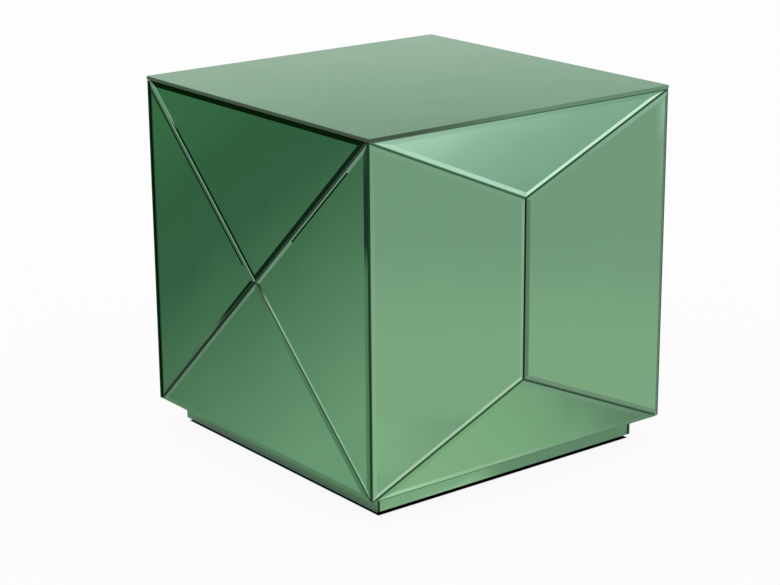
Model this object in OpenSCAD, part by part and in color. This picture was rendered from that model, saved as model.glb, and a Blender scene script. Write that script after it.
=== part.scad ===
// Cube side table faced with bevelled mirror panes over a board carcass.
// Millimetres. Origin: middle of the footprint, on the floor. +Z up.
// The front is -Y, the right side is +X.

/* [Overall] */
// Width and depth over the glass
footprint = 400; // [360:5:460]
// Height from the floor to the top pane
height = 400; // [360:5:460]

/* [Glass] */
// Thickness of every pane
glass = 4; // [3:0.5:6]
// Width of the bevel round each side pane
bevel_width = 5.5; // [3:0.5:10]
// Depth that the bevel falls at the pane's edge
bevel_depth = 1.3; // [0.5:0.1:2]
// Gap between two panes of one side
seam_gap = 0.4; // [0.2:0.1:1]
// Gap where the panes of two faces meet at a corner
corner_gap = 0.2; // [0.1:0.1:0.5]
// Ground edge of the top pane and the plinth strips
arris = 0.5; // [0.2:0.1:1]
// Length ground off both edges at every corner of a pane
corner_nip = 0.6; // [0.3:0.1:1]
// Height of the two triangles on the right and left sides
fold_rise = 87; // [60:1:120]

/* [Bonding tape] */
// Thickness of the tape between glass and board
tape = 1; // [0.5:0.5:2]
// Width of one strip of tape
tape_width = 20; // [10:1:25]
// Strips of tape on each face
tape_count = 6; // [4:1:8]
// Distance from the board's edge to the first strip
tape_inset = 6; // [4:1:12]

/* [Carcass] */
// Thickness of the carcass boards
board = 12; // [10:1:16]
// Side of the square battens in the inner corners
batten = 20; // [15:1:30]
// Diameter of the dowels that join the walls to the top and bottom
dowel_diameter = 6; // [5:0.5:6]
// Depth of a dowel in the edge of a wall
dowel_in_wall = 16; // [10:1:20]
// Depth of a dowel in the top or bottom board
dowel_in_board = 8; // [6:1:8]
// Extra diameter of a dowel's bore
dowel_play = 0.2; // [0.1:0.1:0.3]
// Chamfer at both ends of a dowel
dowel_chamfer = 0.8; // [0.4:0.1:1.2]
// Dowels along each wall
dowel_count = 3; // [2:1:3]
// Spacing of the dowels
dowel_pitch = 120; // [60:5:140]

/* [Plinth] */
// Height of the plinth, from the floor to the carcass
plinth_height = 27; // [24:1:50]
// Distance that the plinth's glass sits behind the side panes
plinth_recess = 22; // [15:1:40]
// Height of the rail left bare under the plinth's glass
strip_lift = 4; // [3:0.5:6]
// Gap between the plinth's glass and the carcass above
strip_gap = 0.5; // [0.2:0.1:1]
// Thickness of the plinth rails
rail = 15; // [12:1:20]
// Side of the square block in each inner corner of the plinth
block = 50; // [45:1:60]

/* [Screws] */
// Shank diameter of the plinth screws
screw_diameter = 4; // [3:0.5:5]
// Head diameter of the plinth screws
screw_head = 8; // [7:0.5:9]
// Height of the conical part of the head
screw_cone = 2.2; // [1.5:0.1:3]
// Depth of the screw in the bottom board
screw_grip = 9; // [6:1:9]
// Depth of the hole that hides the head
counterbore_depth = 7; // [4:1:10]
// Extra diameter of the screw's clearance holes
screw_play = 0.6; // [0.4:0.1:1]
// Distance from the block's outer faces to the near screw
screw_inset = 12; // [10:1:14]
// Distance from the block's outer faces to the far screw
screw_reach = 38; // [36:1:40]
// Diameter of the star recess in the head
star_diameter = 3.6; // [3:0.2:4]
// Depth of the star recess
star_depth = 1.6; // [1:0.1:2]

/* [Felt pads] */
// Diameter of the pads under the plinth
pad_diameter = 24; // [18:1:26]
// Thickness of the pads
pad = 1.5; // [1:0.5:3]
// Distance from the block's outer faces to the pad's centre
pad_inset = 15; // [14:1:18]

/* [Hidden] */

$fn = 48;
through = 1;

// Turn about Z that brings the front face, or the front left corner, to each place.
front = 0;
right = 90;
back = 180;
left = 270;
front_left = 0;
front_right = 90;
back_right = 180;
back_left = 270;

// Carcass
carcass = footprint - 2 * (glass + tape);
carcass_top = height - glass - tape;
wall_base = plinth_height + board;
wall_top = carcass_top - board;
wall_height = wall_top - wall_base;
inner = carcass - 2 * board;
dowel_length = dowel_in_wall + dowel_in_board;

// Side panes, each face in its own flat frame: x across, y up from the carcass base
pane_height = height - glass - corner_gap - plinth_height;
wide_face = footprint;
narrow_face = footprint - 2 * (glass + corner_gap);

// Plinth
wide_strip = footprint - 2 * plinth_recess;
narrow_strip = wide_strip - 2 * (glass + corner_gap);
strip_height = plinth_height - strip_gap - strip_lift;
plinth = wide_strip - 2 * (glass + tape);
rail_height = plinth_height - pad;
plinth_inner = plinth - 2 * rail;
screw_length = rail_height - counterbore_depth + screw_grip;

glass_colour = "#6a9a78";
board_colour = "#2b2a28";
batten_colour = "#c9a878";
dowel_colour = "#d8bd8f";
tape_colour = "#e6e4dc";
felt_colour = "#3c3a38";
screw_colour = "#b9b9b5";

// ---- Pane outlines ----

// Unit direction of edge i of outline p
function edge_direction(p, i) =
    let (run = p[(i + 1) % len(p)] - p[i]) run / norm(run);

// Inward normal of a direction on an outline that runs anticlockwise
function inward(d) = [-d[1], d[0]];

function cross_product(a, b) = a[0] * b[1] - a[1] * b[0];

// Where edge i, moved in by its own margin, meets the edge before it
function moved_corner(p, margins, i) =
    let (
        last = (i + len(p) - 1) % len(p),
        before = edge_direction(p, last),
        after = edge_direction(p, i),
        a = p[last] + inward(before) * margins[last],
        b = p[i] + inward(after) * margins[i]
    )
    a + before * cross_product(b - a, after) / cross_product(before, after);

function inset(p, margins) = [for (i = [0 : len(p) - 1]) moved_corner(p, margins, i)];

// The outline with each corner replaced by a short flat across it
function nipped(p) = [
    for (i = [0 : len(p) - 1])
        each [
            p[i] - edge_direction(p, (i + len(p) - 1) % len(p)) * corner_nip,
            p[i] + edge_direction(p, i) * corner_nip
        ]
];

// Corners of a face of width w, anticlockwise from the lower left
function face_corner(w, h, i) =
    [[-w / 2, 0], [w / 2, 0], [w / 2, h], [-w / 2, h]][i % 4];

// Triangle from side i of the face to the face's centre
function cross_outline(w, h, i) =
    [face_corner(w, h, i), face_corner(w, h, i + 1), [0, h / 2]];

// Points on the face's centre line where the seams of the folded pattern meet
function fold_point(h, upper) = [0, upper ? h - fold_rise : fold_rise];

// Triangle at the foot or the head of the folded pattern
function fold_triangle(w, h, upper) =
    upper
    ? [face_corner(w, h, 2), face_corner(w, h, 3), fold_point(h, true)]
    : [face_corner(w, h, 0), face_corner(w, h, 1), fold_point(h, false)];

// Tall pane at the right or left of the folded pattern
function fold_side(w, h, rightward) =
    rightward
    ? [face_corner(w, h, 1), face_corner(w, h, 2), fold_point(h, true), fold_point(h, false)]
    : [face_corner(w, h, 3), face_corner(w, h, 0), fold_point(h, false), fold_point(h, true)];

// The first edge of an outline lies on the face's rim and the others are seams.
function margins(p) = [for (i = [0 : len(p) - 1]) i == 0 ? 0 : seam_gap / 2];

// ---- Shared shapes ----

// Wedge that cuts a bevel of the given width and depth along one edge of a pane
module edge_cut(from, to, width, depth) {
    run = to - from;
    reach = norm(run);
    translate([from[0], from[1], glass - depth])
        rotate([0, 0, atan2(run[1], run[0])])
            rotate([atan2(depth, width), 0, 0])
                translate([-reach, -2 * width, 0])
                    cube([3 * reach, 4 * width, 2 * glass]);
}

// Flat pane with its silvered back at z = 0 and a bevel round its face
module bevelled_pane(outline, width, depth) {
    color(glass_colour)
        difference() {
            linear_extrude(glass) polygon(nipped(outline));
            for (i = [0 : len(outline) - 1])
                edge_cut(outline[i], outline[(i + 1) % len(outline)], width, depth);
        }
}

module side_pane(outline) {
    bevelled_pane(inset(outline, margins(outline)), bevel_width, bevel_depth);
}

// Stands a pane up on one side of the table, with its face outward
module on_side(side, base, setback = 0) {
    rotate([0, 0, side])
        translate([0, glass + setback - footprint / 2, base])
            rotate([90, 0, 0])
                children();
}

module cross_pane(side, i) {
    on_side(side, plinth_height)
        side_pane(cross_outline(narrow_face, pane_height, i));
}

module fold_pane_triangle(side, upper) {
    on_side(side, plinth_height)
        side_pane(fold_triangle(wide_face, pane_height, upper));
}

module fold_pane_side(side, rightward) {
    on_side(side, plinth_height)
        side_pane(fold_side(wide_face, pane_height, rightward));
}

module top_pane() {
    translate([0, 0, height - glass])
        bevelled_pane(
            [for (i = [0 : 3]) face_corner(footprint, footprint, i) - [0, footprint / 2]],
            arris, arris
        );
}

module plinth_strip(side, w) {
    on_side(side, strip_lift, plinth_recess)
        bevelled_pane([for (i = [0 : 3]) face_corner(w, strip_height, i)], arris, arris);
}

// ---- Tape ----

// Evenly spaced strips over a face of width w and height h, lying on z = 0
module tape_strips(w, h) {
    step = (h - 2 * tape_inset - tape_width) / (tape_count - 1);
    color(tape_colour)
        for (i = [0 : tape_count - 1])
            translate([tape_inset - w / 2, tape_inset + i * step, 0])
                cube([w - 2 * tape_inset, tape_width, tape]);
}

module side_tape(side) {
    on_side(side, plinth_height, tape)
        tape_strips(carcass, carcass_top - plinth_height);
}

module top_tape() {
    translate([0, -carcass / 2, carcass_top]) tape_strips(carcass, carcass);
}

module plinth_tape() {
    band = strip_height - 2 * strip_lift;
    color(tape_colour)
        for (side = [front, right, back, left])
            on_side(side, 2 * strip_lift, plinth_recess + tape)
                translate([tape_inset - plinth / 2, 0, 0])
                    cube([plinth - 2 * tape_inset, band, tape]);
}

// ---- Carcass ----

// Puts its children at the line of every dowel, along the middle of each wall's edge
module dowel_places() {
    for (side = [front, right, back, left])
        rotate([0, 0, side])
            for (i = [0 : dowel_count - 1])
                translate([(i - (dowel_count - 1) / 2) * dowel_pitch, (board - carcass) / 2, 0])
                    children();
}

// Puts its children at the foot of every dowel: one joint below each wall and one above it
module dowel_ends() {
    dowel_places() {
        translate([0, 0, wall_base - dowel_in_board]) children();
        translate([0, 0, wall_top - dowel_in_wall]) children();
    }
}

module dowel_bores() {
    dowel_ends() cylinder(h = dowel_length, d = dowel_diameter + dowel_play);
}

// Dowel on Z with both ends chamfered
module dowel() {
    tip = dowel_diameter - 2 * dowel_chamfer;
    cylinder(h = dowel_chamfer, d1 = tip, d2 = dowel_diameter);
    translate([0, 0, dowel_chamfer])
        cylinder(h = dowel_length - 2 * dowel_chamfer, d = dowel_diameter);
    translate([0, 0, dowel_length - dowel_chamfer])
        cylinder(h = dowel_chamfer, d1 = dowel_diameter, d2 = tip);
}

module carcass_dowels() {
    color(dowel_colour) dowel_ends() dowel();
}

module flat_board(base) {
    translate([-carcass / 2, -carcass / 2, base]) cube([carcass, carcass, board]);
}

module top_board() {
    color(board_colour)
        difference() {
            flat_board(wall_top);
            dowel_bores();
        }
}

module bottom_board() {
    color(board_colour)
        difference() {
            flat_board(plinth_height);
            dowel_bores();
            screw_places() screw_shape(screw_diameter, 0);
        }
}

module wall(side, w) {
    color(board_colour)
        difference() {
            rotate([0, 0, side])
                translate([-w / 2, -carcass / 2, wall_base])
                    cube([w, board, wall_height]);
            dowel_bores();
        }
}

module corner_batten(corner) {
    color(batten_colour)
        rotate([0, 0, corner])
            translate([-inner / 2, -inner / 2, wall_base])
                cube([batten, batten, wall_height]);
}

// ---- Plinth ----

module plinth_rail(side, w) {
    color(board_colour)
        rotate([0, 0, side])
            translate([-w / 2, -plinth / 2, pad])
                cube([w, rail, rail_height]);
}

// Puts its children at both screws of the block in one corner
module screw_pair(corner) {
    rotate([0, 0, corner])
        translate([-plinth_inner / 2, -plinth_inner / 2, pad])
            for (place = [[screw_reach, screw_inset], [screw_inset, screw_reach]])
                translate(place) children();
}

module screw_places() {
    for (corner = [front_left, front_right, back_right, back_left])
        screw_pair(corner) children();
}

// Countersunk screw pointing up, its head's flat at the foot of the counterbore
module screw_shape(diameter, head) {
    translate([0, 0, counterbore_depth]) {
        cylinder(h = screw_length, d = diameter);
        if (head > 0) cylinder(h = screw_cone, d1 = head, d2 = diameter);
    }
}

module plinth_screws() {
    color(screw_colour)
        difference() {
            screw_places() screw_shape(screw_diameter, screw_head);
            screw_places() star_recess();
        }
}

// Six-pointed drive recess in the screw's head
module star_recess() {
    translate([0, 0, counterbore_depth - through])
        for (turn = [0, 60])
            rotate([0, 0, turn])
                cylinder(h = star_depth + through, d = star_diameter, $fn = 3);
}

module plinth_block(corner) {
    color(board_colour)
        difference() {
            rotate([0, 0, corner])
                translate([-plinth_inner / 2, -plinth_inner / 2, pad])
                    cube([block, block, rail_height]);
            screw_pair(corner) screw_hole();
        }
}

// Counterbore, countersink and clearance hole for one screw
module screw_hole() {
    translate([0, 0, -through])
        cylinder(h = counterbore_depth + through, d = screw_head + screw_play);
    translate([0, 0, counterbore_depth])
        cylinder(h = screw_cone, d1 = screw_head, d2 = screw_diameter);
    cylinder(h = rail_height + through, d = screw_diameter + screw_play);
}

module felt_pad(corner) {
    color(felt_colour)
        rotate([0, 0, corner])
            translate([pad_inset - plinth_inner / 2, pad_inset - plinth_inner / 2, 0])
                cylinder(h = pad, d = pad_diameter);
}

// ---- Assembly ----

top_pane();
cross_pane(front, 2);  // front_pane_top
cross_pane(front, 1);  // front_pane_right
cross_pane(front, 0);  // front_pane_bottom
cross_pane(front, 3);  // front_pane_left
cross_pane(back, 2);  // back_pane_top
cross_pane(back, 3);  // back_pane_right
cross_pane(back, 0);  // back_pane_bottom
cross_pane(back, 1);  // back_pane_left
fold_pane_triangle(right, true);  // right_pane_top
fold_pane_side(right, true);  // right_pane_back
fold_pane_triangle(right, false);  // right_pane_bottom
fold_pane_side(right, false);  // right_pane_front
fold_pane_triangle(left, true);  // left_pane_top
fold_pane_side(left, true);  // left_pane_front
fold_pane_triangle(left, false);  // left_pane_bottom
fold_pane_side(left, false);  // left_pane_back
plinth_strip(front, wide_strip);  // plinth_strip_front
plinth_strip(right, narrow_strip);  // plinth_strip_right
plinth_strip(back, wide_strip);  // plinth_strip_back
plinth_strip(left, narrow_strip);  // plinth_strip_left
top_tape();
side_tape(front);  // front_tape
side_tape(right);  // right_tape
side_tape(back);  // back_tape
side_tape(left);  // left_tape
plinth_tape();
top_board();
bottom_board();
wall(front, inner);  // front_board
wall(right, carcass);  // right_board
wall(back, inner);  // back_board
wall(left, carcass);  // left_board
corner_batten(front_left);  // batten_front_left
corner_batten(front_right);  // batten_front_right
corner_batten(back_right);  // batten_back_right
corner_batten(back_left);  // batten_back_left
carcass_dowels();
plinth_rail(front, plinth);  // plinth_rail_front
plinth_rail(right, plinth_inner);  // plinth_rail_right
plinth_rail(back, plinth);  // plinth_rail_back
plinth_rail(left, plinth_inner);  // plinth_rail_left
plinth_block(front_left);  // plinth_block_front_left
plinth_block(front_right);  // plinth_block_front_right
plinth_block(back_right);  // plinth_block_back_right
plinth_block(back_left);  // plinth_block_back_left
plinth_screws();
felt_pad(front_left);  // felt_pad_front_left
felt_pad(front_right);  // felt_pad_front_right
felt_pad(back_right);  // felt_pad_back_right
felt_pad(back_left);  // felt_pad_back_left
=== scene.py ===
import math

import bpy
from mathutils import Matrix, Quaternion, Vector


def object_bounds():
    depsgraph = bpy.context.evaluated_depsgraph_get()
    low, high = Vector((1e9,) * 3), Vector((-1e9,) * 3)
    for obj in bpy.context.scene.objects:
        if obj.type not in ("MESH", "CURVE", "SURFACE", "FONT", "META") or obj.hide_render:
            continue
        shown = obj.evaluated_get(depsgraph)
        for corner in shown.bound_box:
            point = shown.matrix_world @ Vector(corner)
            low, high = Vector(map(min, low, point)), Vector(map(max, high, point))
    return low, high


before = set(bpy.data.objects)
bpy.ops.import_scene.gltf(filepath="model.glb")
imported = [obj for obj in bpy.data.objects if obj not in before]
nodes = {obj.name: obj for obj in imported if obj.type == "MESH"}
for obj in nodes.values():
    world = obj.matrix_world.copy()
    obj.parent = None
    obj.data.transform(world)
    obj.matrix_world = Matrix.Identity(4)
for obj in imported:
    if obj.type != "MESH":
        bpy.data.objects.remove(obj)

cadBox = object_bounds()
bpy.ops.object.select_all(action="DESELECT")
print("frame loaded:", len(nodes), "nodes")

pureWhite = (1, 1, 1, 1)
# the sockets of a colour Mix node and of a vector Map Range, which share their names with others
mixFirst, mixSecond, mixResult = 6, 7, 2
rangeVector, rangeFromLow, rangeFromHigh, rangeToLow, rangeToHigh = range(6, 11)


def linear(hexColour):
    # sRGB hex to the linear colour that the shaders want
    parts = [int(hexColour[i:i + 2], 16) / 255 for i in (1, 3, 5)]
    return (*[p / 12.92 if p <= 0.04045 else ((p + 0.055) / 1.055) ** 2.4 for p in parts], 1)


def addNode(tree, kind, inputs=None, **settings):
    # one node, its settings, then its input values, or the nodes or sockets that feed them
    node = tree.nodes.new("ShaderNode" + kind)
    for name, value in settings.items():
        setattr(node, name, value)
    for name, value in (inputs or {}).items():
        source = value.outputs[0] if isinstance(value, bpy.types.Node) else value
        if isinstance(source, bpy.types.NodeSocket):
            tree.links.new(source, node.inputs[name])
        else:
            node.inputs[name].default_value = value
    return node


def newMaterial(name):
    material = bpy.data.materials.new(name)
    material.use_nodes = True
    material.node_tree.nodes.clear()
    return material, material.node_tree


def perMetre(millimetres):
    # texture scale whose features are about this size
    return 1000 / millimetres


def bandScale(millimetres):
    # the same for a wave texture, whose bands stand pi / 10 apart at scale 1
    return perMetre(millimetres) * math.pi / 10


def dress(material, *names):
    for name in names:
        slots = nodes[name].data.materials
        slots.clear()
        slots.append(material)


cameraSet = {
    "azimuth": 51.75,      # degrees round from the front
    "elevation": 16.2,
    "distance": 2.30,      # metres from the table's middle
    "yawAim": 0.43,        # degrees off the middle
    "pitchAim": 0.92,
    "roll": -0.42,
    "focalPixels": 2085,
    "frameWidth": 780,
    "sensor": 36.0,
    "clip": (0.05, 60),    # metres
}


def awayFrom(azimuth, elevation):
    a, e = math.radians(azimuth), math.radians(elevation)
    return Vector((math.sin(a) * math.cos(e), -math.cos(a) * math.cos(e), math.sin(e)))


def makeCamera(s):
    data = bpy.data.cameras.new("tableCamera")
    camera = bpy.data.objects.new("tableCamera", data)
    bpy.context.collection.objects.link(camera)
    data.sensor_width = s["sensor"]
    data.lens = s["focalPixels"] / s["frameWidth"] * s["sensor"]
    data.clip_start, data.clip_end = s["clip"]
    middle = (cadBox[0] + cadBox[1]) / 2
    camera.location = middle + awayFrom(s["azimuth"], s["elevation"]) * s["distance"]
    back = awayFrom(s["azimuth"] + s["yawAim"], s["elevation"] + s["pitchAim"])
    camera.rotation_mode = "QUATERNION"
    turn = Quaternion((0, 0, 1), math.radians(s["roll"]))
    camera.rotation_quaternion = (-back).to_track_quat("-Z", "Y") @ turn
    bpy.context.scene.camera = camera


makeCamera(cameraSet)
bpy.context.scene.view_settings.view_transform = "Standard"
print("camera placed")


floorSet = {
    "size": 14.0,                       # metres
    "paper": "#f4f4f2",
    "glow": 0.92,                       # how much of the white is the backdrop's own
    "under": (0.177, 0.1755, 0),        # metres along X and Y, where the floor under the plinth is painted dark, a painted shade
    "underBlur": 0.0005,                # metres either side of that limit
    "shade": "#0b0c0a",                 # the paper's colour there, a painted shade for what little light is left
    "shadeReach": (0.184, 0.205, 0),    # the floor that shows in the plinth's glass
}


def makeFloor(s):
    bpy.ops.mesh.primitive_plane_add(size=s["size"], location=(0, 0, 0))
    floor = bpy.context.object
    floor.name = "studioFloor"
    material, tree = newMaterial("paleStudioPaper")
    rays = addNode(tree, "LightPath")
    place = addNode(tree, "TexCoord").outputs["Object"]
    out = addNode(tree, "VectorMath", {0: place}, operation="ABSOLUTE")

    def reachPast(limit):
        # how far, along X or Y, the floor's point lies past the limit
        over = addNode(tree, "VectorMath", {0: out, 1: limit}, operation="SUBTRACT")
        split = addNode(tree, "SeparateXYZ", {0: over})
        return addNode(tree, "Math", {0: split.outputs["X"], 1: split.outputs["Y"]},
                       operation="MAXIMUM")

    # the backdrop's own white stops at the plinth, and the paper under it is painted dark as painted shade,
    # so that the gap under it stays dark
    bare = addNode(tree, "MapRange", {
        "Value": reachPast(s["under"]), "From Min": -s["underBlur"], "From Max": s["underBlur"]})
    # painted shade: under the plinth the paper takes the dark shade colour
    tone = addNode(tree, "Mix", {
        0: bare, mixFirst: linear(s["shade"]), mixSecond: linear(s["paper"])}, data_type="RGBA")
    glow = addNode(tree, "Math", {0: bare, 1: s["glow"]}, operation="MULTIPLY")
    paper = addNode(tree, "BsdfDiffuse", {"Color": tone.outputs[mixResult]})
    white = addNode(tree, "Emission", {"Color": pureWhite, "Strength": 1.0})
    seen = addNode(tree, "MixShader", {"Fac": glow, 1: paper, 2: white})
    lit = addNode(tree, "MixShader", {"Fac": rays.outputs["Is Camera Ray"], 1: paper, 2: seen})
    # beyond the table's own shade the mirrors see the graded studio of the world
    past = addNode(tree, "Math", {0: reachPast(s["shadeReach"]), 1: 0.0}, operation="GREATER_THAN")
    clear = addNode(tree, "Math", {0: past, 1: rays.outputs["Is Glossy Ray"]}, operation="MULTIPLY")
    through = addNode(tree, "BsdfTransparent")
    both = addNode(tree, "MixShader", {"Fac": clear, 1: lit, 2: through})
    addNode(tree, "OutputMaterial", {"Surface": both})
    floor.data.materials.append(material)


# the studio's own light, and how the tone that the mirrors see changes with the height over
# the horizon, in degrees
studioSet = {
    "light": 0.85,
    "levels": [
        (-90, (0.84, 0.90, 0.79)),
        (-40, (0.84, 0.90, 0.79)),
        (-18, (0.80, 0.87, 0.75)),
        (-16, (0.68, 0.74, 0.70)),
        (-11, (0.67, 0.73, 0.69)),
        (2, (0.82, 0.82, 0.82)),
        (8, (0.74, 0.84, 0.77)),
        (10, (0.61, 0.72, 0.65)),
        (11.4, (0.51, 0.63, 0.55)),
        (13, (0.39, 0.50, 0.42)),
        (30, (0.48, 0.52, 0.50)),
        (60, (0.75, 0.75, 0.75)),
        (90, (0.85, 0.85, 0.85)),
    ],
}
# the papers that hang round the table: aim is a bearing, from +X towards +Y, and a height over
# the horizon, half is half the width and height, and soft is the width of the edge, all in
# degrees; fade is the way that the tones change, and each tone stands by its place along it
papers = {
    "backFill": {"aim": (157, 20), "half": (2, 25), "soft": 60, "tone": (0.88, 0.93, 0.89)},
    "frontFlat": {"aim": (-99, -15), "half": (7, 9), "soft": 8, "tone": (0.36, 0.46, 0.39)},
    "rightFlat": {"aim": (9, -15), "half": (6, 9), "soft": 8, "tone": (0.40, 0.50, 0.43)},
    "backFlat": {"aim": (99, -15), "half": (7, 9), "soft": 8, "tone": (0.36, 0.46, 0.39)},
    "leftFlat": {"aim": (168, -15), "half": (5, 9), "soft": 6, "tone": (0.40, 0.50, 0.43)},
    "sideFlat": {"aim": (-50, -15), "half": (5.5, 8), "soft": 7, "tone": (0.30, 0.40, 0.33)},
    "farFlat": {"aim": (130, -15), "half": (5.5, 8), "soft": 7, "tone": (0.30, 0.40, 0.33)},
    "frontGrey": {"aim": (-134, -14), "half": (8.2, 14), "soft": 1, "tone": (0.33, 0.44, 0.35)},
    "leftGrey": {"aim": (-155.5, -18), "half": (5.3, 13), "soft": 1, "tone": (0.44, 0.50, 0.46)},
    "leftWhite": {"aim": (-157, -25), "half": (1.6, 3.4), "soft": 1, "tone": (0.94, 1.00, 0.93)},
    "leftLight": {"aim": (-159.2, -15.6), "half": (1.7, 1.1), "soft": 0.6, "tone": (0.60, 0.76, 0.66)},
    "leftDark": {"aim": (-159.2, -19.1), "half": (1.7, 2.5), "soft": 0.4, "tone": (0.01, 0.04, 0.02)},
    "armWhite": {"aim": (-151.6, -9.7), "half": (1.8, 2.4), "soft": 0.6, "tone": (0.56, 0.61, 0.59)},
    "leftFoot": {"aim": (-151, -28), "half": (3.5, 3.5), "soft": 1, "tone": (0.36, 0.49, 0.40)},
    "leftBlack": {"aim": (-162.5, -15.5), "half": (1.5, 5.5), "soft": 0.8, "tone": (0.06, 0.11, 0.08)},
    "slope": {"aim": (-145.8, -16.8), "half": (4.2, 7.2), "soft": 1, "fade": (0.111, -0.141), "tones": [
        (-0.92, (0.14, 0.32, 0.19)),
        (-0.60, (0.12, 0.255, 0.16)),
        (-0.30, (0.13, 0.26, 0.18)),
        (0.00, (0.23, 0.37, 0.27)),
        (0.50, (0.42, 0.57, 0.45)),
        (0.80, (0.54, 0.70, 0.56)),
    ]},
    "horizonBlack": {"aim": (-144.4, -4.6), "half": (4.2, 1.5), "soft": 0.8, "tone": (0.008, 0.025, 0.008)},
    "frontMiddle": {"aim": (-137, -8), "half": (2.4, 3.2), "soft": 1, "tone": (0.24, 0.30, 0.26)},
    "frontFoot": {"aim": (-138.2, -21.5), "half": (2.7, 2.6), "soft": 0.8, "tone": (0.02, 0.04, 0.03)},
    "frontEdge": {"aim": (-143.4, -25.7), "half": (2.2, 2.1), "soft": 0.8, "tone": (0.25, 0.34, 0.27)},
    "frontSide": {"aim": (-126.5, -15), "half": (4, 11), "soft": 1.9, "fade": (0, 1), "tones": [
        (-4.5, (0.33, 0.44, 0.35)),
        (-1.9, (0.30, 0.39, 0.34)),
        (-0.7, (0.04, 0.08, 0.07)),
        (0.9, (0.04, 0.08, 0.07)),
        (2.0, (0.13, 0.19, 0.16)),
        (5.0, (0.22, 0.30, 0.25)),
    ]},
    "glow": {"aim": (40, -1), "half": (6.5, 2.6), "soft": 0.8, "fade": (-0.083, 0.2), "tones": [
        (-0.50, (0.79, 0.87, 0.92)),
        (-0.29, (0.95, 0.95, 1.04)),
        (-0.15, (1.08, 1.10, 1.20)),
        (0.00, (1.38, 1.30, 1.48)),
        (0.20, (1.66, 1.52, 1.72)),
    ]},
    "head": {"aim": (40.4, 8.5), "half": (5, 3), "soft": 1, "fade": (1, 0), "tones": [
        (-3.5, (1.32, 1.20, 1.38)),
        (0.0, (1.08, 1.05, 1.15)),
        (3.5, (0.72, 0.82, 0.80)),
    ]},
    "fillBox": {"aim": (33.6, -12), "half": (2.6, 1.9), "soft": 0.8, "tone": (1.79, 1.56, 1.87)},
    "fillGrey": {"aim": (32.9, -16), "half": (2.2, 1.6), "soft": 0.8, "tone": (0.74, 0.86, 0.69)},
    "softBox": {"aim": (48.6, -11.2), "half": (3, 2.6), "soft": 0.8, "tone": (2.36, 1.94, 2.32)},
    "sideWhite": {"aim": (55.5, -17), "half": (2, 5), "soft": 1, "tone": (0.95, 0.95, 0.95)},
    "sideGrey": {"aim": (59.5, -16), "half": (1.8, 6), "soft": 1, "tone": (0.45, 0.45, 0.45)},
    "middleGrey": {"aim": (28.4, -17), "half": (1.8, 5), "soft": 1, "tone": (0.46, 0.45, 0.45)},
    "nearWhite": {"aim": (23.5, -18), "half": (2.2, 7), "soft": 1, "fade": (0, 1), "tones": [
        (-4.5, (0.94, 1.00, 0.90)),
        (1.0, (0.84, 0.88, 0.82)),
        (4.0, (0.74, 0.75, 0.76)),
    ]},
    "plinthFade": {"aim": (42, -21.9), "half": (5.5, 1.35), "soft": 0.4, "fade": (1, 0), "tones": [
        (-4.6, (0.85, 0.93, 0.79)),
        (-2.4, (0.72, 0.78, 0.70)),
        (-0.6, (0.50, 0.58, 0.52)),
        (3.0, (0.44, 0.50, 0.46)),
    ]},
    "plinthFoot": {"aim": (38.2, -22.9), "half": (2.4, 0.9), "soft": 0.6, "fade": (-0.304, 1), "tones": [
        (-0.30, (1.20, 1.28, 1.12)),
        (-0.12, (1.05, 1.12, 0.98)),
        (0.02, (0.80, 0.88, 0.76)),
        (0.40, (0.74, 0.83, 0.72)),
    ]},
    "footSide": {"aim": (47.8, -15.6), "half": (1.8, 1.3), "soft": 0.4, "fade": (1, 0), "tones": [
        (-1.5, (0.68, 0.72, 0.68)),
        (0.0, (0.62, 0.66, 0.62)),
        (1.4, (0.46, 0.50, 0.47)),
    ]},
    "floorFade": {"aim": (43, -25.6), "half": (5, 2.4), "soft": 0.8, "fade": (1, 0.8), "tones": [
        (-3.0, (0.88, 0.97, 0.79)),
        (0.3, (0.77, 0.90, 0.72)),
        (2.3, (0.66, 0.77, 0.63)),
        (3.7, (0.52, 0.59, 0.51)),
        (4.9, (0.41, 0.47, 0.42)),
    ]},
    "floorGrey": {"aim": (42, -29.6), "half": (2.6, 1.5), "soft": 0.6, "tone": (0.62, 0.62, 0.62)},
    "floorWhite": {"aim": (49, -30), "half": (3, 3), "soft": 1, "tone": (1.49, 1.34, 1.36)},
    "footFade": {"aim": (48.8, -35.2), "half": (4.4, 2.6), "soft": 0.6, "fade": (1, 0), "tones": [
        (-3.4, (1.42, 1.40, 1.25)),
        (-1.4, (1.14, 1.13, 1.04)),
        (0.6, (0.92, 0.92, 0.88)),
        (3.2, (0.50, 0.54, 0.50)),
    ]},
}


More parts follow.
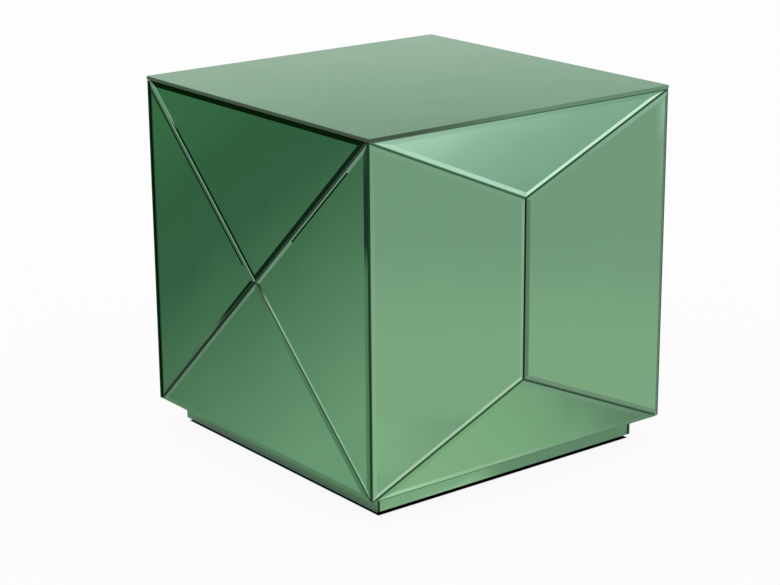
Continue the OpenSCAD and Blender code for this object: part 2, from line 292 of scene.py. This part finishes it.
def makeWorld(s, papers):
    world = bpy.data.worlds.new("studioWorld")
    world.use_nodes = True
    tree = world.node_tree
    tree.nodes.clear()
    rays = addNode(tree, "LightPath")
    way = addNode(tree, "TexCoord").outputs["Generated"]
    split = addNode(tree, "SeparateXYZ", {0: way})
    turn = addNode(tree, "Math", {0: split.outputs["Y"], 1: split.outputs["X"]},
                   operation="ARCTAN2")
    bearing = addNode(tree, "Math", {0: turn}, operation="DEGREES")
    rise = addNode(tree, "Math", {0: split.outputs["Z"]}, operation="ARCSINE")
    height = addNode(tree, "Math", {0: rise}, operation="DEGREES")
    aim = addNode(tree, "CombineXYZ", {"X": bearing, "Y": height})

    def fade(value, stops):
        # a ramp from the first stop's value to the last one's
        low, high = stops[0][0], stops[-1][0]
        span = addNode(tree, "MapRange", {"Value": value, "From Min": low, "From Max": high})
        node = addNode(tree, "ValToRGB", {"Fac": span})
        marks = node.color_ramp.elements
        while len(marks) < len(stops):
            marks.new(0.5)
        for mark, (at, tone) in zip(marks, stops):
            mark.position = (at - low) / (high - low)
            mark.color = (*tone, 1)
        return node.outputs["Color"]

    shown = fade(height, s["levels"])
    for paper in papers.values():
        # how far off the paper's middle the ray goes, and how much of the paper covers it
        off = addNode(tree, "VectorMath", {0: aim, 1: (*paper["aim"], 0)}, operation="SUBTRACT")
        out = addNode(tree, "VectorMath", {0: off}, operation="ABSOLUTE")
        inner = [half - paper["soft"] / 2 for half in paper["half"]]
        outer = [half + paper["soft"] / 2 for half in paper["half"]]
        cover = addNode(tree, "MapRange", {
            rangeVector: out, rangeFromLow: (*inner, -1), rangeFromHigh: (*outer, 1),
            rangeToLow: (1, 1, 1), rangeToHigh: (0, 0, 0)},
            data_type="FLOAT_VECTOR", interpolation_type="SMOOTHSTEP")
        sides = addNode(tree, "SeparateXYZ", {0: cover.outputs["Vector"]})
        both = addNode(tree, "Math", {0: sides.outputs["X"], 1: sides.outputs["Y"]},
                       operation="MULTIPLY")
        if "fade" in paper:
            slope = addNode(tree, "VectorMath", {0: off, 1: (*paper["fade"], 0)},
                            operation="DOT_PRODUCT")
            tone = fade(slope.outputs["Value"], paper["tones"])
        else:
            tone = (*paper["tone"], 1)
        shown = addNode(tree, "Mix", {0: both, mixFirst: shown, mixSecond: tone},
                        data_type="RGBA").outputs[mixResult]

    # only the mirrors see the papers; the light is plain and the backdrop is white
    soft = addNode(tree, "Background", {"Color": pureWhite, "Strength": s["light"]})
    mirrored = addNode(tree, "Background", {"Color": shown, "Strength": 1.0})
    white = addNode(tree, "Background", {"Color": pureWhite, "Strength": 1.0})
    first = addNode(tree, "MixShader", {"Fac": rays.outputs["Is Glossy Ray"], 1: soft, 2: mirrored})
    last = addNode(tree, "MixShader", {"Fac": rays.outputs["Is Camera Ray"], 1: first, 2: white})
    addNode(tree, "OutputWorld", {"Surface": last})
    bpy.context.scene.world = world


makeFloor(floorSet)
makeWorld(studioSet, papers)
print("floor and world made")


paneSet = {
    "silver": "#79ae85",
    "grazing": (0.33, 0.60, 0.39, 1),    # keeps the silver's tint at a low angle, behind its glass
    "rim": "#274b2e",         # the silver stops here, and the image comes off the dark backing; panes that set it lighter paint a highlight on their joints
    "rimDepth": 1.0,          # mm down the bevel where that begins
    "rimBlur": 0.12,          # mm
    "risingShift": 0,         # mm that it begins higher along the seams that rise to the right
    "foot": "#56845e",        # the ground rim along the side panes' foot, set lighter as a painted highlight
    "footTop": 0.0285,        # metres over the floor
    "falling": "#35593c",     # the ground rim along the seams that fall to the right; its tone, set for each pane, is partly painted highlight and shade
    "rising": "#33563a",      # and along those that rise to the right, painted the same way
    "slant": 0.01,            # least product of the normal's parts on a slanting bevel
    "lean": (0, 0, 0),        # how a pane a little out of flat tips its image
    "edge": "#3f5844",        # the ground edges
    "edgeEnd": "#3f5844",     # and their tone at the far end of this run, in metres; a change along the run is painted light and shade on the edge
    "edgeRun": ("Y", -0.13, 0.02),
    "edgeFacing": 0.5,        # a ground edge faces less than this much outwards
    "ghost": 0.3,             # mm down the bevel that the ridge's painted second image covers
    # the dark tint of that painted reflection
    "paintedGhostTint": "#0a2412",
    "ghostSpan": (0, 0),      # metres over the floor, the middle and half height of that image
    "ghostFrom": (0.12, 0.22),    # how far the view turns from the bevel before it shows
    "polish": 0.012,          # roughness of the silver
    "coatPolish": 0.01,       # and of the glass before it
    "ground": 0.22,           # and of ground glass
    "rollWave": 90,           # mm between the rollers' waves in float glass
    "rollTilt": 0.00025,      # metres, their height
}


def silveredGlass(name, axis, face, **look):
    # Green float glass, silvered behind and bevelled: the silver's image comes through the tint
    # twice, and the polished face, which is the coat, adds a clear one that grows at a low angle.
    # A bevel turns the silver's image about half as far as its own slope, and the silver stops
    # short of the rim, so that each joint shows as a thin green line, whose tone, set by the seam's
    # direction, is partly painted highlight and painted shade.
    p = {**paneSet, **look}
    material, tree = newMaterial(name)
    outward = Vector(axis)
    upward = axis[2] > 0

    normal = addNode(tree, "NewGeometry").outputs["Normal"]
    along = addNode(tree, "VectorMath", {0: normal, 1: outward}, operation="MULTIPLY")
    sign = addNode(tree, "VectorMath", {0: along}, operation="SIGN")
    half = addNode(tree, "VectorMath", {0: normal, 1: sign}, operation="ADD")
    tipped = addNode(tree, "VectorMath", {0: half, 1: p["lean"]}, operation="ADD")
    silver = addNode(tree, "VectorMath", {0: tipped}, operation="NORMALIZE")
    place = addNode(tree, "TexCoord").outputs["Object"]
    wave = addNode(tree, "TexNoise", {
        "Vector": place, "Scale": perMetre(p["rollWave"]), "Detail": 1.0, "Roughness": 0.4})
    rolled = addNode(tree, "Bump", {"Height": wave, "Distance": p["rollTilt"], "Normal": silver})

    # metres down from the face, and where the ground edge is
    out = addNode(tree, "VectorMath", {0: place}, operation="ABSOLUTE")
    reach = addNode(tree, "VectorMath", {0: out, 1: outward}, operation="DOT_PRODUCT")
    depth = addNode(tree, "Math", {0: face, 1: reach.outputs["Value"]}, operation="SUBTRACT")
    axes = addNode(tree, "SeparateXYZ", {0: place})
    height = axes.outputs["Z"]
    facing = addNode(tree, "VectorMath", {0: normal, 1: outward}, operation="DOT_PRODUCT")
    square = addNode(tree, "Math", {0: facing.outputs["Value"]}, operation="ABSOLUTE")
    isEdge = addNode(tree, "Math", {0: square, 1: p["edgeFacing"]}, operation="LESS_THAN")

    # which way a slanting bevel's seam runs, told by the sign of the normal's three parts
    parts = addNode(tree, "SeparateXYZ", {0: normal})
    flatParts = addNode(tree, "Math", {0: parts.outputs["X"], 1: parts.outputs["Y"]},
                        operation="MULTIPLY")
    product = addNode(tree, "Math", {0: flatParts, 1: parts.outputs["Z"]}, operation="MULTIPLY")
    rises = addNode(tree, "Math", {0: product, 1: p["slant"]}, operation="GREATER_THAN")
    falls = addNode(tree, "Math", {0: product, 1: -p["slant"]}, operation="LESS_THAN")
    slants = addNode(tree, "Math", {0: rises, 1: falls}, operation="ADD")

    # the rim of the bevel, and where it is ground and has lost its silver
    low, high = ((p["rimDepth"] + end * p["rimBlur"] / 2) / 1000 for end in (-1, 1))
    shifted = addNode(tree, "Math", {0: rises, 1: p["risingShift"] / 1000, 2: depth},
                      operation="MULTIPLY_ADD")
    rim = addNode(tree, "MapRange", {"Value": shifted, "From Min": low, "From Max": high})
    foot = addNode(tree, "Math", {0: height, 1: p["footTop"]}, operation="LESS_THAN")
    unsilvered = addNode(tree, "Math", {0: slants, 1: foot}, operation="MAXIMUM")
    ground = addNode(tree, "Math", {0: rim, 1: unsilvered}, operation="MULTIPLY")

    # painted reflection: from the side, a slanting bevel's ridge is painted a second time into the silver's
    # colour, as a dark line
    ridge = addNode(tree, "Math", {0: depth, 1: p["ghost"] / 1000}, operation="LESS_THAN")
    span = addNode(tree, "Math", {0: height, 1: p["ghostSpan"][0], 2: p["ghostSpan"][1]},
                   operation="COMPARE")
    line = addNode(tree, "Math", {0: ridge, 1: span}, operation="MULTIPLY")
    aside = addNode(tree, "MapRange", {
        "Value": addNode(tree, "LayerWeight").outputs["Facing"],
        "From Min": p["ghostFrom"][0], "From Max": p["ghostFrom"][1]})
    slanting = addNode(tree, "Math", {0: line, 1: slants}, operation="MULTIPLY")
    ghost = addNode(tree, "Math", {0: slanting, 1: aside}, operation="MULTIPLY")

    way, start, end = p["edgeRun"]
    run = addNode(tree, "MapRange", {
        "Value": axes.outputs[way], "From Min": start, "From Max": end})
    edge = addNode(tree, "Mix", {
        0: run, mixFirst: linear(p["edge"]), mixSecond: linear(p["edgeEnd"])}, data_type="RGBA")
    # the rim's tone, partly painted highlight and shade by the seam's direction, then the silver above it,
    # then the ridge's painted second image and the ground edge
    tint = linear(p["rim"])
    for amount, colour in ((falls, p["falling"]), (rises, p["rising"]), (foot, p["foot"])):
        tint = addNode(tree, "Mix", {0: amount, mixFirst: tint, mixSecond: linear(colour)},
                       data_type="RGBA").outputs[mixResult]
    tint = addNode(tree, "Mix", {0: rim, mixFirst: linear(p["silver"]), mixSecond: tint},
                   data_type="RGBA").outputs[mixResult]
    for amount, colour in ((ghost, linear(p["paintedGhostTint"])), (isEdge, edge.outputs[mixResult])):
        tint = addNode(tree, "Mix", {0: amount, mixFirst: tint, mixSecond: colour},
                       data_type="RGBA").outputs[mixResult]

    metal = addNode(tree, "Math", {0: 1.0, 1: isEdge if upward else ground}, operation="SUBTRACT")
    matt = addNode(tree, "Math", {0: ground, 1: isEdge}, operation="MAXIMUM")
    rough = addNode(tree, "MapRange", {"Value": matt, "To Min": p["polish"], "To Max": p["ground"]})
    bare = addNode(tree, "Math", {0: rim, 1: isEdge}, operation="MAXIMUM")
    uncoated = addNode(tree, "Math", {0: bare, 1: ghost}, operation="MAXIMUM")
    coat = addNode(tree, "Math", {0: 1.0, 1: uncoated}, operation="SUBTRACT")
    shader = addNode(tree, "BsdfPrincipled", {
        "Base Color": tint, "Metallic": metal, "Roughness": rough, "Specular Tint": p["grazing"],
        "Coat Weight": coat, "Coat Roughness": p["coatPolish"],
        "Normal": rolled, "Coat Normal": rolled})
    addNode(tree, "OutputMaterial", {"Surface": shader})
    return material


# metres from the table's origin to each kind of face
sideFace, topFace, plinthFace = 0.2, 0.4, 0.178

# the crossed sides: the rims along each pane's seams, whose light and dark tones are partly painted
# highlight and shade, and the ridges' painted second images
crossSet = {
    "top": {"falling": "#06140a", "rising": "#2f4433", "rimDepth": 1.1},
    "left": {
        "falling": "#98c4a0", "rising": "#04200a", "rimDepth": 1.05, "risingShift": 0.3,
        "ghost": 0.4, "ghostSpan": (0.311, 0.086),
        # the left pane's ground edge is painted dark below its middle and light above, painted shade and
        # highlight
        "edge": "#0c2010", "edgeEnd": "#7fae88", "edgeRun": ("Z", 0.211, 0.212)},
    "right": {
        "falling": "#375d3c", "rising": "#2c4231", "ghost": 0.55, "ghostSpan": (0.315, 0.045)},
    "bottom": {"falling": "#375d3c", "rising": "#0c2c12"},
}
seenFromBehind = {"top": "top", "left": "right", "right": "left", "bottom": "bottom"}
for place, look in crossSet.items():
    glass = silveredGlass(
        "silveredGreenGlassCross" + place.capitalize(), (0, 1, 0), sideFace, **look)
    dress(glass, f"front_pane_{place}", f"back_pane_{seenFromBehind[place]}")

# the folded sides, whose end triangles tip their image up or down; the head's lighter rim and the lighter
# rising rims are painted highlights on the seams
foldSet = {
    "Fold": {"rising": "#45694c"},
    "Head": {"lean": (0, 0, 0.25), "rim": "#3d6347", "rising": "#5a8566"},
    "Foot": {"lean": (0, 0, -0.10)},
}
foldPanes = {"Fold": ("front", "back"), "Head": ("top",), "Foot": ("bottom",)}
for part, look in foldSet.items():
    glass = silveredGlass("silveredGreenGlass" + part, (1, 0, 0), sideFace, **look)
    dress(glass, *[f"{side}_pane_{pane}" for side in ("right", "left") for pane in foldPanes[part]])

# the top pane's ground edge, painted darker at the front and lighter towards the middle, a painted
# reflection
topSet = {
    "edge": "#434f41", "edgeEnd": "#6a9072", "edgeRun": ("Y", -0.14, 0), "rollTilt": 0.00012}
dress(silveredGlass("silveredGreenGlassTop", (0, 0, 1), topFace, **topSet), "top_pane")

stripSet = {"edge": "#1e3a22", "edgeEnd": "#1e3a22"}
for kind, axis, sides in (
        ("Cross", (0, 1, 0), ("front", "back")), ("Fold", (1, 0, 0), ("right", "left"))):
    glass = silveredGlass("silveredGreenGlassPlinth" + kind, axis, plinthFace, **stripSet)
    dress(glass, *[f"plinth_strip_{side}" for side in sides])
print("glass dressed")


boardSet = {
    "paint": "#151413",
    "worn": "#2a2724",
    "stipple": 1.6,           # mm
    "fibre": 6,               # mm
    "thin": (0.55, 0.75),     # where between the fibres the paint thins
    "rough": (0.6, 0.85),
    "relief": 0.2,            # mm
}


def paintedFibreboard(s):
    # Fibreboard rolled with thin black paint: almost black, dull, with the roller's fine stipple
    # and a little brown where the paint is thin on the fibres.
    material, tree = newMaterial("blackPaintedFibreboard")
    place = addNode(tree, "TexCoord").outputs["Object"]
    stipple = addNode(tree, "TexNoise", {
        "Vector": place, "Scale": perMetre(s["stipple"]), "Detail": 2.0, "Roughness": 0.6})
    fibre = addNode(tree, "TexNoise", {
        "Vector": place, "Scale": perMetre(s["fibre"]), "Detail": 5.0, "Roughness": 0.7})
    thin = addNode(tree, "MapRange", {
        "Value": fibre, "From Min": s["thin"][0], "From Max": s["thin"][1]})
    colour = addNode(tree, "Mix", {
        0: thin, mixFirst: linear(s["paint"]), mixSecond: linear(s["worn"])}, data_type="RGBA")
    rough = addNode(tree, "MapRange", {
        "Value": fibre, "To Min": s["rough"][0], "To Max": s["rough"][1]})
    bump = addNode(tree, "Bump", {
        "Height": stipple, "Distance": s["relief"] / 1000, "Strength": 0.5})
    shader = addNode(tree, "BsdfPrincipled", {
        "Base Color": colour.outputs[mixResult], "Roughness": rough, "Specular IOR Level": 0.25,
        "Normal": bump})
    addNode(tree, "OutputMaterial", {"Surface": shader})
    return material


pineSet = {
    "early": "#d9b987",
    "late": "#b1824c",
    "ring": 3.5,              # mm
    "stretch": 0.06,          # how much slower the rings change up the batten
    "ripple": 1.2,            # mm
    "relief": 0.1,            # mm
    "rough": 0.65,
}


def planedPine(s):
    # Planed pine: pale wood, with darker late rings running up the batten and the knives' fine
    # ripples across it.
    material, tree = newMaterial("planedPine")
    place = addNode(tree, "TexCoord").outputs["Object"]
    stretch = addNode(tree, "Mapping", {"Vector": place, "Scale": (1, 1, s["stretch"])})
    rings = addNode(tree, "TexWave", {
        "Vector": stretch, "Scale": bandScale(s["ring"]), "Distortion": 2.5, "Detail": 2.0,
        "Detail Scale": 0.4}, bands_direction="X", wave_profile="SAW")
    ripples = addNode(tree, "TexWave", {
        "Vector": place, "Scale": bandScale(s["ripple"]), "Distortion": 0.6}, bands_direction="Z")
    colour = addNode(tree, "Mix", {
        0: rings.outputs["Fac"], mixFirst: linear(s["early"]), mixSecond: linear(s["late"])},
        data_type="RGBA")
    bump = addNode(tree, "Bump", {
        "Height": ripples.outputs["Fac"], "Distance": s["relief"] / 1000, "Strength": 0.6})
    shader = addNode(tree, "BsdfPrincipled", {
        "Base Color": colour.outputs[mixResult], "Roughness": s["rough"], "Normal": bump})
    addNode(tree, "OutputMaterial", {"Surface": shader})
    return material


dowelSet = {
    "wood": "#c99f70",
    "fleck": "#93683c",
    "fleckSize": 1.4,         # mm
    "fleckEdge": (0.12, 0.3),
    "relief": 0.1,            # mm
    "rough": 0.55,
}


def turnedBeech(s):
    # Beech dowel rod, planed round: warm even wood with the short dark flecks of its rays.
    material, tree = newMaterial("turnedBeech")
    place = addNode(tree, "TexCoord").outputs["Object"]
    cells = addNode(tree, "TexVoronoi", {"Vector": place, "Scale": perMetre(s["fleckSize"])})
    flecks = addNode(tree, "MapRange", {
        "Value": cells, "From Min": s["fleckEdge"][0], "From Max": s["fleckEdge"][1],
        "To Min": 1, "To Max": 0})
    colour = addNode(tree, "Mix", {
        0: flecks, mixFirst: linear(s["wood"]), mixSecond: linear(s["fleck"])}, data_type="RGBA")
    bump = addNode(tree, "Bump", {
        "Height": cells, "Distance": s["relief"] / 1000, "Strength": 0.4})
    shader = addNode(tree, "BsdfPrincipled", {
        "Base Color": colour.outputs[mixResult], "Roughness": s["rough"], "Normal": bump})
    addNode(tree, "OutputMaterial", {"Surface": shader})
    return material


tapeSet = {
    "foam": "#252624",
    # painted shade: the darker tone in the middle of each open cell
    "cellShade": "#121312",
    "cell": 0.7,              # mm
    "relief": 0.2,            # mm
    "rough": 0.9,
}


def foamTape(s):
    # Closed-cell foam tape, slit from a roll: matt black with fine open cells along its cut sides.
    material, tree = newMaterial("closedCellFoamTape")
    place = addNode(tree, "TexCoord").outputs["Object"]
    cells = addNode(tree, "TexVoronoi", {"Vector": place, "Scale": perMetre(s["cell"])})
    # the cells' middles take the darker tone, a painted shade in the hollows
    colour = addNode(tree, "Mix", {
        0: cells, mixFirst: linear(s["cellShade"]), mixSecond: linear(s["foam"])}, data_type="RGBA")
    bump = addNode(tree, "Bump", {
        "Height": cells, "Distance": s["relief"] / 1000, "Strength": 0.7})
    shader = addNode(tree, "BsdfPrincipled", {
        "Base Color": colour.outputs[mixResult], "Roughness": s["rough"], "Normal": bump})
    addNode(tree, "OutputMaterial", {"Surface": shader})
    return material


screwSet = {
    "zinc": "#c3c6c9",
    "dull": "#8f9498",
    "spangle": 0.9,           # mm
    "relief": 0.05,           # mm
    "rough": (0.22, 0.42),
}


def zincSteel(s):
    # Cold-formed steel, bright zinc plated: pale grey metal, cloudy from the plating bath.
    material, tree = newMaterial("zincPlatedSteel")
    place = addNode(tree, "TexCoord").outputs["Object"]
    cloud = addNode(tree, "TexNoise", {
        "Vector": place, "Scale": perMetre(s["spangle"]), "Detail": 3.0})
    colour = addNode(tree, "Mix", {
        0: cloud, mixFirst: linear(s["dull"]), mixSecond: linear(s["zinc"])}, data_type="RGBA")
    rough = addNode(tree, "MapRange", {
        "Value": cloud, "To Min": s["rough"][0], "To Max": s["rough"][1]})
    bump = addNode(tree, "Bump", {
        "Height": cloud, "Distance": s["relief"] / 1000, "Strength": 0.3})
    shader = addNode(tree, "BsdfPrincipled", {
        "Base Color": colour.outputs[mixResult], "Metallic": 1.0, "Roughness": rough,
        "Normal": bump})
    addNode(tree, "OutputMaterial", {"Surface": shader})
    return material


feltSet = {
    "wool": "#3b3a39",
    "fluff": "#5c5a57",
    "fibre": 0.5,             # mm
    "relief": 0.4,            # mm
    "rough": 0.95,
    "sheen": 0.35,
}


def pressedFelt(s):
    # Pressed wool felt: soft dark grey, with tangled fibres that catch the light at the edge.
    material, tree = newMaterial("pressedFelt")
    place = addNode(tree, "TexCoord").outputs["Object"]
    fibres = addNode(tree, "TexNoise", {
        "Vector": place, "Scale": perMetre(s["fibre"]), "Detail": 6.0, "Roughness": 0.8,
        "Distortion": 1.5})
    colour = addNode(tree, "Mix", {
        0: fibres, mixFirst: linear(s["wool"]), mixSecond: linear(s["fluff"])}, data_type="RGBA")
    bump = addNode(tree, "Bump", {
        "Height": fibres, "Distance": s["relief"] / 1000, "Strength": 0.8})
    shader = addNode(tree, "BsdfPrincipled", {
        "Base Color": colour.outputs[mixResult], "Roughness": s["rough"],
        "Sheen Weight": s["sheen"], "Sheen Roughness": 0.5, "Normal": bump})
    addNode(tree, "OutputMaterial", {"Surface": shader})
    return material


# each finish and the words in the names of the pieces that have it
finishes = [
    (paintedFibreboard(boardSet), ("_board", "_rail", "_block")),
    (planedPine(pineSet), ("batten",)),
    (turnedBeech(dowelSet), ("dowels",)),
    (foamTape(tapeSet), ("_tape",)),
    (zincSteel(screwSet), ("screws",)),
    (pressedFelt(feltSet), ("felt",)),
]
for finish, words in finishes:
    dress(finish, *[name for name in nodes if any(word in name for word in words)])
print("carcass, plinth and pads dressed")
